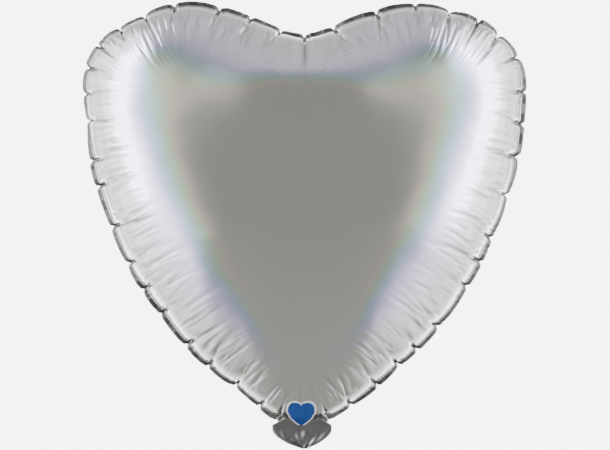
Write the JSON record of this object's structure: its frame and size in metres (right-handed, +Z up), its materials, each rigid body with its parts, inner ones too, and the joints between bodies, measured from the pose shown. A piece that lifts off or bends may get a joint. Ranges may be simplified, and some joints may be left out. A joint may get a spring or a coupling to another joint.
{
  "type": "heart foil balloon",
  "caption": "Heart-shaped foil balloon, full of gas, with a short filling tail that folds at the neck and a self-closing film valve inside.",
  "frame": {"origin": "middle of the tie line, where the neck folds over to the filling tail", "axes": "+Z up through the heart, -Y the printed front, +X to the right seen from the front"},
  "size_m": [0.37, 0.204, 0.374],
  "materials": {
    "foil_film": "satin metallised film with a soft rainbow sheen that shows on its slopes",
    "weld": "pressed dull edge of two welded films",
    "valve_film": "thin soft clear film",
    "release_coat": "printed non-stick coat"
  },
  "bodies": {
    "balloon": {"front_panel": "foil_film", "back_panel": "foil_film", "edge_seal": "weld"},
    "tail": {"tail_front_ply": "foil_film", "tail_back_ply": "foil_film", "tail_seal_left": "weld", "tail_seal_right": "weld"},
    "valve": {"valve_front_film": "valve_film", "valve_back_film": "valve_film", "valve_seal_left": "valve_film", "valve_seal_right": "valve_film", "valve_release_coat": "release_coat"}
  },
  "joints": [
    {"name": "tail_fold", "type": "hinge", "parent": "balloon", "child": "tail", "pos_m": [0, 0, 0], "axis": [1, 0, 0], "range_deg": [-130, 130], "stiffness_Nm_per_rad": 0.00002},
    {"name": "valve_swing", "type": "hinge", "parent": "balloon", "child": "valve", "pos_m": [0, 0, 0.00903], "axis": [1, 0, 0], "range_deg": [-8, 8], "stiffness_Nm_per_rad": 0.001}
  ]
}
